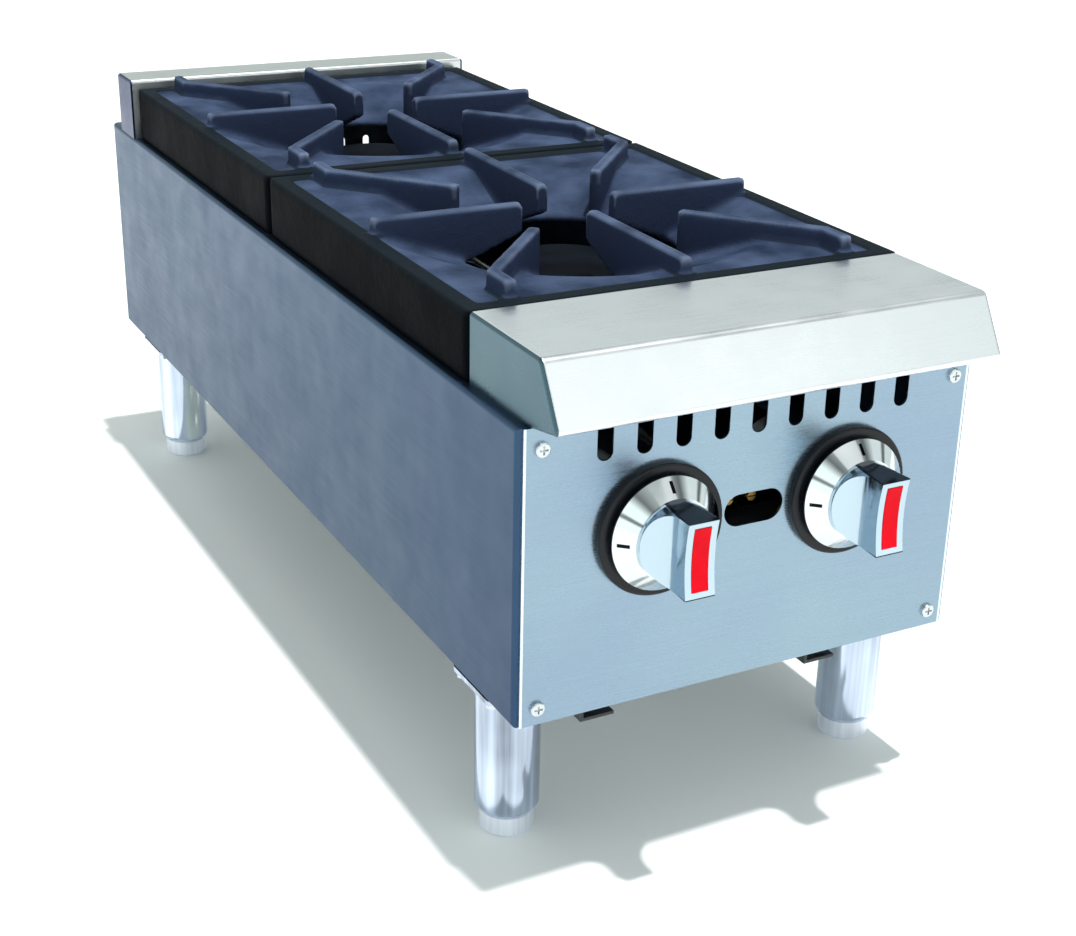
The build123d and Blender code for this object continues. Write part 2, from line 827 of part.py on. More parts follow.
def knob_strip(name, x):
    """Mould the strip that fills the slot in the bar's hollow face and stands just proud of it."""
    axis_z = above(knob_height)
    with BuildPart() as strip:
        with BuildSketch(facing_front(-knob_reach + bar_hollow + strip_depth)):
            with Locations((x, axis_z)):
                Rectangle(strip_width, strip_height)
        extrude(amount=bar_hollow + strip_depth)
        with BuildSketch(Plane.YZ.offset(x - bar_width)):
            with Locations((behind(-knob_reach) + bar_hollow - strip_proud - hollow_radius, axis_z)):
                Circle(hollow_radius)
        extrude(amount=2 * bar_width, mode=Mode.SUBTRACT)
    keep(strip.part, name)


def valve_stem(name, x):
    """Turn the stem: round in the valve's bushing, with a flat where the knob pushes on."""
    stem_back = pipe_y - valve_size / 2 - bushing_reach + stem_socket_depth - seat_gap
    stem_front = dial_back + stem_grip_length
    with BuildPart() as stem:
        with BuildSketch(facing_front(stem_back)):
            with Locations((x, above(knob_height))):
                Circle(stem_radius)
        extrude(amount=stem_back + stem_front)
        with BuildSketch(facing_front(-stem_front)):
            with Locations((x, above(knob_height) + 2 * stem_radius - flat_depth)):
                Rectangle(3 * stem_radius, 2 * stem_radius)
        extrude(amount=-stem_front + bezel_thickness, mode=Mode.SUBTRACT)
    keep(stem.part, name)


for side, x in knob_places.items():
    gas_valve(f"{side}_gas_valve", x)
    orifice_hood(f"{side}_orifice_hood", x)
    knob_bezel(f"{side}_knob_bezel", x)
    knob_dial(f"{side}_knob_dial", x)
    knob_grip(f"{side}_knob_grip", x)
    knob_strip(f"{side}_knob_strip", x)
    valve_stem(f"{side}_valve_stem", x)

# Pilot valve: a small block behind the oblong hole, with one adjusting screw for each pilot
pilot_block_width = 34
pilot_block_depth = 24
pilot_block_height = 16
pilot_block_corner = 2
pilot_screw_spread = 16
pilot_screw_radius = 3
pilot_screw_reach = 16
pilot_slot_width = 1
pilot_back = pipe_y + pilot_block_depth / 2
pilot_front = pipe_y - pilot_block_depth / 2
pilot_screw_places = {"left": -pilot_screw_spread / 2, "right": pilot_screw_spread / 2}
pilot_tube_radius = 2.4
pilot_socket_depth = 6

with BuildPart() as pilot_valve:
    with BuildSketch(facing_front(pilot_back)):
        with Locations((0, above(knob_height))):
            RectangleRounded(pilot_block_width, pilot_block_height, pilot_block_corner)
    extrude(amount=pilot_block_depth)
    with BuildSketch(level(boss_height)):
        with Locations((0, behind(pipe_y))):
            Circle(pilot_boss_radius - neck_step)
    extrude(amount=knob_height - boss_height)
    with BuildSketch(level(boss_height - nipple_depth)):
        with Locations((0, behind(pipe_y))):
            Circle(nipple_radius)
    extrude(amount=nipple_depth + root_lap)
    with BuildSketch(facing_front(pilot_front)):
        with Locations(*[(x, above(knob_height)) for x in pilot_screw_places.values()]):
            Circle(pilot_screw_radius + running_gap)
    extrude(amount=-pilot_block_depth / 2, mode=Mode.SUBTRACT)
    with BuildSketch(facing_front(pilot_back)):
        with Locations(*[(x, above(knob_height)) for x in pilot_screw_places.values()]):
            Circle(pilot_tube_radius + running_gap)
    extrude(amount=pilot_socket_depth, mode=Mode.SUBTRACT)
keep(pilot_valve.part, "pilot_valve")

for side, x in pilot_screw_places.items():
    with BuildPart() as pilot_screw:
        with BuildSketch(facing_front(pilot_front - pilot_screw_reach)):
            with Locations((x, above(knob_height))):
                Circle(pilot_screw_radius)
        extrude(amount=-pilot_screw_reach - pilot_block_depth / 2 + seat_gap)
        with BuildSketch(facing_front(pilot_front - pilot_screw_reach)):
            with Locations((x, above(knob_height))):
                Rectangle(2 * pilot_screw_radius, pilot_slot_width)
        extrude(amount=-pilot_slot_width, mode=Mode.SUBTRACT)
    keep(pilot_screw.part, f"{side}_pilot_screw")

# Pilot tubes: thin tubes that pass over the mixing tubes to a tip beside each burner
pilot_tip_x = -16
pilot_tip_gap = 6
pilot_tip_height = 186
pilot_tip_length = 12
pilot_tip_radius = 4
pilot_lanes = {"front": -26, "rear": 34}
pilot_lane_height = 129
pilot_straight = 12
pilot_ramp = 34
pilot_turn = 60
pilot_bend_radius = 6


def pilot_tube(row, place, start_x):
    """Bend one pilot tube from the block to the burner at the given place and tip it."""
    tip_y = behind(place - bowl_radius - cap_overhang - pilot_tip_gap)
    lane_x = pilot_lanes[row]
    start = pilot_back - pilot_socket_depth + seat_gap
    with BuildPart() as tube:
        with BuildLine():
            FilletPolyline(
                (start_x, behind(start), above(knob_height)),
                (start_x, behind(pilot_back + pilot_straight), above(knob_height)),
                (lane_x, behind(pilot_back + pilot_straight + pilot_ramp), above(pilot_lane_height)),
                (lane_x, tip_y - pilot_turn, above(pilot_lane_height)),
                (pilot_tip_x, tip_y, above(pilot_lane_height)),
                (pilot_tip_x, tip_y, above(pilot_tip_height)),
                radius=pilot_bend_radius,
            )
        with BuildSketch(facing_front(start)):
            with Locations((start_x, above(knob_height))):
                Circle(pilot_tube_radius)
        sweep()
    keep(tube.part, f"{row}_pilot_tube")
    with BuildPart() as tip:
        with BuildSketch(level(pilot_tip_height - pilot_tip_length)):
            with Locations((pilot_tip_x, tip_y)):
                RegularPolygon(pilot_tip_radius, 6)
        extrude(amount=pilot_tip_length + sheet)
        with BuildSketch(level(pilot_tip_height - pilot_tip_length)):
            with Locations((pilot_tip_x, tip_y)):
                Circle(pilot_tube_radius + running_gap)
        extrude(amount=pilot_tip_length, mode=Mode.SUBTRACT)
    keep(tip.part, f"{row}_pilot_tip")


pilot_tube("front", burner_places[0], pilot_screw_places["left"])
pilot_tube("rear", burner_places[1], pilot_screw_places["right"])

# Panel screws: pan heads, four in front and four behind, each set in one group
def panel_screws(name, plane_distance, towards):
    """Place four screws; towards is 1 when the heads face the front and -1 when they face back."""
    with BuildPart() as screws:
        with BuildSketch(facing_front(plane_distance)):
            with Locations(*panel_screw_places):
                Circle(screw_head_radius)
        extrude(amount=towards * screw_head_height)
        head_tops = screws.faces().filter_by(Axis.Y).group_by(Axis.Y)[0 if towards > 0 else -1]
        fillet(head_tops.edges(), radius=screw_head_round)
        with BuildSketch(facing_front(plane_distance)):
            with Locations(*panel_screw_places):
                Circle(screw_radius)
        extrude(amount=-towards * screw_length)
    keep(screws.part, name)


panel_screws("front_panel_screws", 0, 1)
panel_screws("rear_panel_screws", body_depth, -1)

# Legs: a polished tube welded to its plate, with a threaded end that holds the foot
end_plug_height = 14
stud_radius = 8
stud_length = 42
leg_shoulder = 1.2
leg_tube_top = above(-leg_plate_thickness)


def leg(name, x, y):
    """Turn one leg tube and weld it to its square plate."""
    with BuildPart() as leg_part:
        with BuildSketch(Plane.XY.offset(leg_tube_top)):
            with Locations((x, y)):
                RectangleRounded(leg_plate_size, leg_plate_size, fold_radius)
                with GridLocations(bolt_spread, bolt_spread, 2, 2):
                    Circle(bolt_hole_radius, mode=Mode.SUBTRACT)
        extrude(amount=leg_plate_thickness)
        with BuildSketch(Plane.XZ.offset(-y)):
            with BuildLine():
                Polyline(
                    (x + stud_radius + running_gap, foot_height),
                    (x + leg_radius - leg_shoulder, foot_height),
                    (x + leg_radius, foot_height + 2 * leg_shoulder),
                    (x + leg_radius, leg_tube_top),
                    (x + leg_radius - leg_wall, leg_tube_top),
                    (x + leg_radius - leg_wall, foot_height + end_plug_height),
                    (x + stud_radius + running_gap, foot_height + end_plug_height),
                    close=True,
                )
            make_face()
        revolve(axis=Axis((x, y, 0), (0, 0, 1)))
    keep(leg_part.part, name)


# Feet: a turned pad on a stud that screws into the leg
pad_edge = 2.5
pad_neck_radius = 15
pad_neck_height = 3


def foot(name, x, y):
    """Turn one foot with its stud."""
    with BuildPart() as foot_part:
        with BuildSketch(Plane.XZ.offset(-y)):
            with BuildLine():
                Polyline(
                    (x, 0),
                    (x + foot_radius - pad_edge, 0),
                    (x + foot_radius, pad_edge),
                    (x + foot_radius, foot_height - pad_neck_height),
                    (x + pad_neck_radius, foot_height - pad_neck_height / 2),
                    (x + pad_neck_radius, foot_height),
                    (x + stud_radius, foot_height),
                    (x + stud_radius, foot_height + stud_length),
                    (x, foot_height + stud_length),
                    close=True,
                )
            make_face()
        revolve(axis=Axis((x, y, 0), (0, 0, 1)))
    keep(foot_part.part, name)


for corner, (x, y) in leg_places.items():
    leg(f"{corner}_leg", x, y)
    foot(f"{corner}_foot", x, y)

# Leg bolts: four hexagon heads under each leg plate, all in one group
with BuildPart() as leg_bolts:
    with BuildSketch(Plane.XY.offset(leg_tube_top)):
        with Locations(*bolt_places):
            RegularPolygon(bolt_head_radius, 6)
    extrude(amount=-bolt_head_height)
    with BuildSketch(Plane.XY.offset(leg_tube_top)):
        with Locations(*bolt_places):
            Circle(bolt_radius)
    extrude(amount=bolt_length)
keep(leg_bolts.part, "leg_bolts")

# Under clips: two small folded channels, open to the right, under the front panel's return
clip_places = (-108, 48)
clip_width = 22
clip_drop = 8
clip_start = 3
clip_length = 14
clip_sheet = 2

with BuildPart() as under_clips:
    for clip_x in clip_places:
        with BuildSketch(facing_front(clip_start)):
            with Locations((clip_x + clip_width / 2, above(-clip_drop / 2))):
                Rectangle(clip_width, clip_drop)
            with Locations((clip_x + clip_width / 2 + clip_sheet, above(-clip_drop / 2))):
                Rectangle(clip_width, clip_drop - 2 * clip_sheet, mode=Mode.SUBTRACT)
        extrude(amount=-clip_length)
keep(under_clips.part, "under_clips")
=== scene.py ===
import math

import bpy
from mathutils import Matrix, Vector


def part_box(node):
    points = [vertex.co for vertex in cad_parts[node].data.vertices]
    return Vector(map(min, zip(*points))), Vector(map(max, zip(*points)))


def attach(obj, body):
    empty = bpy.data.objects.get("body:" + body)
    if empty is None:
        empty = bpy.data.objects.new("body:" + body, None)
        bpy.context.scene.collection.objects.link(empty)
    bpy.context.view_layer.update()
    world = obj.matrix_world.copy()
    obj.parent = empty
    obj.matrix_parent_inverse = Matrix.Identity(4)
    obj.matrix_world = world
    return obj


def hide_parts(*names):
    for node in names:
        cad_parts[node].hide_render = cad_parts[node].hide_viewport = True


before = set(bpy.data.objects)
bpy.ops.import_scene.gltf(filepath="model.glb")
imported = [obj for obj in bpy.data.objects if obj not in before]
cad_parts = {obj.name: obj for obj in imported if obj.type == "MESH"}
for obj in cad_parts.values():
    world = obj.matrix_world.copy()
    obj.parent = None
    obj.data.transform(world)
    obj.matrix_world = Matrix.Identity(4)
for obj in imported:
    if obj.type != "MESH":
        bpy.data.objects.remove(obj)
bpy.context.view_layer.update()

# Camera: stands to the left of the front, looks down on the grates and leans by under two degrees.
# Its place comes from a fit to 26 corners and bar points of the body, the ledge and the grates, in
# which the body's depth was held at 792 mm and the view's middle at half the photo's height.
photo_width = 1076
view_azimuth = math.radians(-29.28)
view_elevation = math.radians(23.13)
view_roll = math.radians(1.78)
view_distance = 1.2054
view_target = Vector((0, -0.185, 0.1597))
focal_pixels = 1782.9
axis_pixel = 584.4
sensor_width = 36

backward = Vector((
    math.sin(view_azimuth) * math.cos(view_elevation),
    -math.cos(view_azimuth) * math.cos(view_elevation),
    math.sin(view_elevation),
))
level_right = Vector((0, 0, 1)).cross(backward).normalized()
upright = backward.cross(level_right)
right = math.cos(view_roll) * level_right + math.sin(view_roll) * upright
up = backward.cross(right)
camera = bpy.data.objects.new("camera", bpy.data.cameras.new("camera"))
camera.matrix_world = Matrix.Translation(view_target + view_distance * backward) @ Matrix(
    (right, up, backward)
).transposed().to_4x4()
camera.data.sensor_width = sensor_width
camera.data.lens = focal_pixels / photo_width * sensor_width
camera.data.shift_x = (photo_width / 2 - axis_pixel) / photo_width
camera.data.clip_start = 0.01
camera.data.clip_end = 100
bpy.context.scene.collection.objects.link(camera)
bpy.context.scene.camera = camera
bpy.context.scene.view_settings.view_transform = "Standard"


# Floor and light: a pale matt studio floor under a small distant lamp that is nearly overhead, so the
# shadow is crisp and close to the body. The sky is brightest in front and on the left, with a dim
# band low down and another high up. Two soft lamps fill the front and the far end of the left side.
def colour(code):
    """Linear colour of an sRGB hex code, with full alpha."""
    parts = [int(code[start:start + 2], 16) / 255 for start in (1, 3, 5)]
    return [((c + 0.055) / 1.055) ** 2.4 if c > 0.04045 else c / 12.92 for c in parts] + [1.0]


def add_node(tree, kind, sockets=None, **settings):
    """Add one shader node, set its settings, and set or link its inputs."""
    made = tree.nodes.new(kind)
    for name, value in settings.items():
        setattr(made, name, value)
    for name, value in (sockets or {}).items():
        if isinstance(value, bpy.types.NodeSocket):
            tree.links.new(value, made.inputs[name])
        else:
            made.inputs[name].default_value = value
    return made


def start_finish(name, **sockets):
    """Start a material; returns it with its tree, its main shader and the object coordinates."""
    finish = bpy.data.materials.new(name)
    finish.use_nodes = True
    tree = finish.node_tree
    tree.nodes.clear()
    named = {key.replace("_", " "): value for key, value in sockets.items()}
    shader = add_node(tree, "ShaderNodeBsdfPrincipled", named)
    add_node(tree, "ShaderNodeOutputMaterial", {"Surface": shader.outputs["BSDF"]})
    place = add_node(tree, "ShaderNodeTexCoord").outputs["Object"]
    return finish, tree, shader, place


floor_size = 40
bpy.ops.object.select_all(action="DESELECT")
bpy.ops.mesh.primitive_plane_add(size=floor_size, location=(0, 0, 0))
studio_floor = bpy.context.object
studio_floor.name = "studio_floor"
floor_finish = start_finish(
    "matt_white_floor", Base_Color=colour("#F4F5F4"), Roughness=0.9, Specular_IOR_Level=0.1
)[0]
studio_floor.data.materials.append(floor_finish)

# The sky is worked out from the direction looked in. Each pair in its bands is a height, where 0 is
# level with the floor and 1 is overhead, and the strength there. Right overhead it is full again.
sky_tint = (0.90, 1.0, 0.98, 1.0)
sky_bands = ((0.18, 1.0), (0.22, 0.2), (0.27, 0.2), (0.31, 1.0), (0.50, 1.0), (0.64, 0.15))
sky = bpy.data.worlds.new("studio_sky")
sky.use_nodes = True
sky_tree = sky.node_tree
sky_place = add_node(sky_tree, "ShaderNodeTexCoord")
towards = add_node(sky_tree, "ShaderNodeSeparateXYZ", {"Vector": sky_place.outputs["Generated"]})
front_to_back = add_node(
    sky_tree,
    "ShaderNodeMapRange",
    {"Value": towards.outputs["Y"], "From Min": -0.6, "From Max": 0.7, "To Min": 1.2, "To Max": 1.02},
)
left_to_right = add_node(
    sky_tree,
    "ShaderNodeMapRange",
    {"Value": towards.outputs["X"], "From Min": -0.7, "From Max": 0.7, "To Min": 1.12, "To Max": 0.8},
)
low_to_high = add_node(sky_tree, "ShaderNodeValToRGB", {"Fac": towards.outputs["Z"]})
for height, strength in sky_bands:
    stop = low_to_high.color_ramp.elements.new(height)
    stop.color = (strength, strength, strength, 1.0)
low_to_high.color_ramp.elements[0].color = (1.0, 1.0, 1.0, 1.0)
level_strength = add_node(
    sky_tree,
    "ShaderNodeMath",
    {0: front_to_back.outputs["Result"], 1: left_to_right.outputs["Result"]},
    operation="MULTIPLY",
)
sky_strength = add_node(
    sky_tree,
    "ShaderNodeMath",
    {0: level_strength.outputs[0], 1: low_to_high.outputs["Color"]},
    operation="MULTIPLY",
)
background = sky_tree.nodes["Background"]
background.inputs["Color"].default_value = sky_tint
sky_tree.links.new(sky_strength.outputs[0], background.inputs["Strength"])
bpy.context.scene.world = sky

towards_lamp = Vector((0.087, -0.105, 1))
overhead_lamp = bpy.data.objects.new("overhead_lamp", bpy.data.lights.new("overhead_lamp", "SUN"))
overhead_lamp.data.energy = 2.7
overhead_lamp.data.angle = math.radians(1.6)
overhead_lamp.rotation_euler = towards_lamp.to_track_quat("Z", "Y").to_euler()
bpy.context.scene.collection.objects.link(overhead_lamp)


def soft_lamp(name, place, aim, size, power, spread):
    """Hang one square soft lamp at a place, turned towards its aim; spread is its beam in degrees."""
    lamp = bpy.data.objects.new(name, bpy.data.lights.new(name, "AREA"))
    lamp.data.shape = "SQUARE"
    lamp.data.size = size
    lamp.data.energy = power
    lamp.data.spread = math.radians(spread)
    lamp.location = place
    lamp.rotation_euler = (Vector(aim) - Vector(place)).to_track_quat("-Z", "Y").to_euler()
    bpy.context.scene.collection.objects.link(lamp)


soft_lamp("front_lamp", place=(0.7, -2.2, 1.5), aim=(0, -0.3, 0.2), size=1.6, power=4, spread=180)
soft_lamp("rear_left_lamp", place=(-0.8, 1.5, 1.2), aim=(-0.6, 1.3, 0), size=0.9, power=2, spread=70)


# Side panels: 1.5 mm cold-rolled sheet folded to a shallow pan and coated with a thin metallic
# lacquer, screwed to the front and rear panels and carrying the grates on their top flanges.
# The eye sees a slate blue skin, half dull, with soft clouds and faint lengthwise lines.
def dress(name, finish):
    """Give a CAD node its finish."""
    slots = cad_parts[name].data.materials
    slots.clear()
    slots.append(finish)


def per_mm(size):
    """Pattern scale in metres for a feature of that many millimetres."""
    return 1000 / size


def brushed_sheet(
    name, base, along, roughness, streak=0.6, streak_length=60, tint=0.05, drift=None, end_shading=None
):
    """Rolled and brushed metal whose fine streaks run along one axis; sizes are in millimetres.

    The eye sees soft lengthwise reflections with faint darker and lighter lines, a few smudges and
    the slight waves of thin sheet. The lines are drawn coarser than real brush lines, so that they
    show. drift is a second tone that the colour wanders to over a hand's width. The last argument
    gives the painted tone of a piece's folds or end plates: a painted highlight where it is light and
    painted shade where it is dark."""
    cloud_size = 110
    smudge_size = 28
    wave_depth = 0.0003
    scratch_depth = 0.00002
    finish, tree, shader, place = start_finish(name, Metallic=1.0)
    stretch = [per_mm(streak)] * 3
    stretch["XYZ".index(along)] = per_mm(streak_length)
    run = add_node(tree, "ShaderNodeMapping", {"Vector": place, "Scale": stretch})
    streaks = add_node(
        tree, "ShaderNodeTexNoise", {"Vector": run.outputs["Vector"], "Scale": 1.0, "Detail": 4.0}
    )
    clouds = add_node(
        tree, "ShaderNodeTexNoise", {"Vector": place, "Scale": per_mm(cloud_size), "Detail": 3.0}
    )
    smudges = add_node(
        tree, "ShaderNodeTexNoise", {"Vector": place, "Scale": per_mm(smudge_size), "Detail": 5.0}
    )
    mixed = add_node(
        tree,
        "ShaderNodeMath",
        {0: streaks.outputs["Fac"], 1: clouds.outputs["Fac"]},
        operation="ADD",
    )
    shade = add_node(
        tree,
        "ShaderNodeMapRange",
        {
            "Value": mixed.outputs[0],
            "From Min": 0.7,
            "From Max": 1.3,
            "To Min": 1 - tint,
            "To Max": 1 + tint,
        },
    )
    base_colour = colour(base)
    if drift:
        wander = add_node(
            tree,
            "ShaderNodeMapRange",
            {"Value": clouds.outputs["Fac"], "From Min": 0.25, "From Max": 0.75},
        )
        base_colour = add_node(
            tree,
            "ShaderNodeMix",
            {"Factor": wander.outputs["Result"], 6: base_colour, 7: colour(drift)},
            data_type="RGBA",
        ).outputs[2]
    # The two ends take a painted tone: a painted highlight where it is light, painted shade where it is
    # dark.
    if end_shading:
        end_shading_tone, end_axis, middle, skin_start = end_shading
        split = add_node(tree, "ShaderNodeSeparateXYZ", {"Vector": place})
        from_middle = add_node(
            tree, "ShaderNodeMath", {0: split.outputs[end_axis], 1: middle}, operation="SUBTRACT"
        )
        outwards = add_node(tree, "ShaderNodeMath", {0: from_middle.outputs[0]}, operation="ABSOLUTE")
        on_end = add_node(
            tree, "ShaderNodeMath", {0: outwards.outputs[0], 1: skin_start}, operation="GREATER_THAN"
        )
        base_colour = add_node(
            tree,
            "ShaderNodeMix",
            {"Factor": on_end.outputs[0], 6: base_colour, 7: colour(end_shading_tone)},
            data_type="RGBA",
        ).outputs[2]
    plain = add_node(
        tree,
        "ShaderNodeMix",
        {"Factor": 1.0, 6: base_colour, 7: shade.outputs["Result"]},
        data_type="RGBA",
        blend_type="MULTIPLY",
    )
    uneven = add_node(
        tree,
        "ShaderNodeMath",
        {0: streaks.outputs["Fac"], 1: smudges.outputs["Fac"]},
        operation="ADD",
    )
    gloss = add_node(
        tree,
        "ShaderNodeMapRange",
        {
            "Value": uneven.outputs[0],
            "From Min": 0.7,
            "From Max": 1.3,
            "To Min": roughness - 0.06,
            "To Max": roughness + 0.08,
        },
    )
    waves = add_node(
        tree,
        "ShaderNodeBump",
        {"Height": clouds.outputs["Fac"], "Strength": 1.0, "Distance": wave_depth},
    )
    scratches = add_node(
        tree,
        "ShaderNodeBump",
        {
            "Height": streaks.outputs["Fac"],
            "Strength": 0.12,
            "Distance": scratch_depth,
            "Normal": waves.outputs["Normal"],
        },
    )
    tree.links.new(plain.outputs[2], shader.inputs["Base Color"])
    tree.links.new(gloss.outputs["Result"], shader.inputs["Roughness"])
    tree.links.new(scratches.outputs["Normal"], shader.inputs["Normal"])
    return finish


side_lacquer = brushed_sheet(
    "lacquered_rolled_steel", "#3A4F6E", "Y", 0.40, tint=0.07, drift="#3C546B"
)
for side in ("left", "right"):
    dress(f"{side}_side_panel", side_lacquer)

# Front panel: brushed stainless sheet with its edges folded back, pierced for the vent slots, the
# valve stems and the pilot port, and screwed to the side panels at its four corners. Both folded
# ends are painted near white as a painted highlight, so the eye sees a thin light line down each edge.
sheet_end_shading_depth = 0.0016


def painted_end_shading(name, tone, axis, depth):
    """Painted tone for a node's two ends on an axis, with the axis, its middle and where the painted
    band starts.
    """
    low, high = (corner["XYZ".index(axis)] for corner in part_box(name))
    return tone, axis, (low + high) / 2, (high - low) / 2 - depth


dress(
    "front_panel",
    brushed_sheet(
        "brushed_stainless_panel",
        "#91A4B9",
        "X",
        0.27,
        drift="#93A9B5",
        end_shading=painted_end_shading("front_panel", "#E3EDF2", "X", sheet_end_shading_depth),
    ),
)

# Bullnose ledge and rear riser: folded stainless sheet, its ends closed with thin plates welded in.
# The end plates are painted dark as painted shade, so the eye sees a pale top between two dark ends.
dress(
    "front_ledge",
    brushed_sheet(
        "brushed_stainless_ledge",
        "#EDEFF2",
        "X",
        0.30,
        tint=0.03,
        end_shading=painted_end_shading("front_ledge", "#4F6873", "X", sheet_end_shading_depth),
    ),
)
dress(
    "rear_riser",
    brushed_sheet(
        "brushed_stainless_riser",
        "#D3D6D5",
        "X",
        0.33,
        tint=0.03,
        end_shading=painted_end_shading("rear_riser", "#26345C", "X", sheet_end_shading_depth),
    ),
)

# Rear panel, bottom pan, burner brackets, shutters and pipe brackets: hot-dip galvanised sheet, cut
# and folded after the dip. The eye sees dull grey zinc in large flakes, some brighter than others.
galvanised, tree, shader, place = start_finish("galvanised_sheet", Metallic=1.0)
flakes = add_node(tree, "ShaderNodeTexVoronoi", {"Vector": place, "Scale": per_mm(9)})
bloom = add_node(tree, "ShaderNodeTexNoise", {"Vector": place, "Scale": per_mm(22), "Detail": 5.0})
flake_shade = add_node(
    tree,
    "ShaderNodeMix",
    {"Factor": flakes.outputs["Color"], 6: colour("#8D959B"), 7: colour("#B7BEC2")},
    data_type="RGBA",
)
zinc_shade = add_node(
    tree,
    "ShaderNodeMix",
    {"Factor": bloom.outputs["Fac"], 6: flake_shade.outputs[2], 7: colour("#9BA1A3")},
    data_type="RGBA",
)
zinc_gloss = add_node(
    tree, "ShaderNodeMapRange", {"Value": flakes.outputs["Color"], "To Min": 0.34, "To Max": 0.56}
)
flake_facets = add_node(
    tree, "ShaderNodeBump", {"Height": flakes.outputs["Color"], "Strength": 0.2, "Distance": 0.0001}
)
tree.links.new(zinc_shade.outputs[2], shader.inputs["Base Color"])
tree.links.new(zinc_gloss.outputs["Result"], shader.inputs["Roughness"])
tree.links.new(flake_facets.outputs["Normal"], shader.inputs["Normal"])
for name in (
    "rear_panel",
    "bottom_pan",
    "front_burner_bracket",
    "rear_burner_bracket",
    "front_air_shutter",
    "rear_air_shutter",
    "inlet_collar",
    "manifold_bracket",
):
    dress(name, galvanised)

# Gas pipe, its plug and the two clips under the front edge: black steel with a thin lacquer against
# rust. The eye sees a dark, half-gloss skin with a slight orange peel.
black_steel, tree, shader, place = start_finish("black_lacquered_steel")
peel = add_node(tree, "ShaderNodeTexNoise", {"Vector": place, "Scale": per_mm(2.5), "Detail": 3.0})
patches = add_node(tree, "ShaderNodeTexNoise", {"Vector": place, "Scale": per_mm(18), "Detail": 4.0})
pipe_shade = add_node(
    tree,
    "ShaderNodeMix",
    {"Factor": patches.outputs["Fac"], 6: colour("#121417"), 7: colour("#2C3036")},
    data_type="RGBA",
)
pipe_gloss = add_node(
    tree, "ShaderNodeMapRange", {"Value": patches.outputs["Fac"], "To Min": 0.3, "To Max": 0.55}
)
pipe_peel = add_node(
    tree, "ShaderNodeBump", {"Height": peel.outputs["Fac"], "Strength": 0.3, "Distance": 0.0001}
)
tree.links.new(pipe_shade.outputs[2], shader.inputs["Base Color"])
tree.links.new(pipe_gloss.outputs["Result"], shader.inputs["Roughness"])
tree.links.new(pipe_peel.outputs["Normal"], shader.inputs["Normal"])
for name in ("gas_manifold", "manifold_plug", "under_clips"):
    dress(name, black_steel)

# Inlet thread: a 14 per inch pipe thread on the rear end of the gas pipe, cut bright by the die.
# A small triangle is wound round the pipe's axis, with its base sunk a little into the pipe.
# The eye sees close bright rings that climb slowly round the end.
inch = 0.0254
thread_pitch = inch / 14
thread_turns = 11
thread_steps = 32
thread_root = 0.0131
thread_height = 0.0005
thread_share = 0.9
triangle_height = 1.5
triangle_base = math.sqrt(3)
base_sink = thread_height / 6
inlet_low, inlet_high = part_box("inlet_collar")
inlet_middle = (inlet_low + inlet_high) / 2
pipe_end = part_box("gas_manifold")[1].y
bpy.ops.object.select_all(action="DESELECT")
bpy.ops.mesh.primitive_circle_add(
    vertices=3, radius=1, fill_type="NOTHING", location=(0, 0, 0), rotation=(0, 0, -math.pi / 2)
)
inlet_thread = bpy.context.object
inlet_thread.name = "inlet_thread"
bpy.ops.object.transform_apply(location=True, rotation=True, scale=True)
bpy.ops.object.mode_set(mode="EDIT")
bpy.ops.mesh.select_all(action="SELECT")
bpy.ops.transform.resize(
    value=(thread_height / triangle_height, thread_share * thread_pitch / triangle_base, 1),
    center_override=(0, 0, 0),
)
bpy.ops.transform.translate(value=(thread_root + thread_height / 3 - base_sink, 0, 0))
bpy.ops.object.mode_set(mode="OBJECT")
winding = inlet_thread.modifiers.new("winding", "SCREW")
winding.axis = "Y"
winding.screw_offset = -thread_pitch
winding.iterations = thread_turns
winding.steps = thread_steps
winding.render_steps = thread_steps
winding.use_merge_vertices = False
bpy.ops.object.modifier_apply(modifier="winding")
bpy.ops.object.mode_set(mode="EDIT")
bpy.ops.mesh.select_all(action="SELECT")
bpy.ops.mesh.fill_holes(sides=3)
bpy.ops.mesh.select_all(action="SELECT")
bpy.ops.mesh.normals_make_consistent(inside=False)
bpy.ops.transform.translate(value=(inlet_middle.x, pipe_end - thread_pitch / 2, inlet_middle.z))
bpy.ops.object.mode_set(mode="OBJECT")
bpy.ops.object.shade_flat()
thread_steel = brushed_sheet("die_cut_pipe_thread", "#9A9DA0", "Y", 0.3, streak=0.5, streak_length=3)
inlet_thread.data.materials.append(thread_steel)
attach(inlet_thread, "chassis")

# Valves, orifice hoods, stems and pilot fittings: free-cutting brass, turned from bar and left bare.
# The eye sees dull yellow metal, browner where it has been handled, with tool lines that are drawn
# 1 mm apart, coarser than real ones, so that they show.
turned_brass, tree, shader, place = start_finish("turned_brass", Metallic=1.0)
handling = add_node(tree, "ShaderNodeTexNoise", {"Vector": place, "Scale": per_mm(7), "Detail": 4.0})
brass_shade = add_node(
    tree,
    "ShaderNodeMix",
    {"Factor": handling.outputs["Fac"], 6: colour("#6E5529"), 7: colour("#A88A4C")},
    data_type="RGBA",
)
brass_gloss = add_node(
    tree, "ShaderNodeMapRange", {"Value": handling.outputs["Fac"], "To Min": 0.18, "To Max": 0.4}
)
tool_lines = add_node(
    tree,
    "ShaderNodeTexWave",
    {"Vector": place, "Scale": per_mm(3), "Distortion": 0.4},
    bands_direction="Y",
)
brass_lines = add_node(
    tree,
    "ShaderNodeBump",
    {"Height": tool_lines.outputs["Fac"], "Strength": 0.15, "Distance": 0.00005},
)
tree.links.new(brass_shade.outputs[2], shader.inputs["Base Color"])
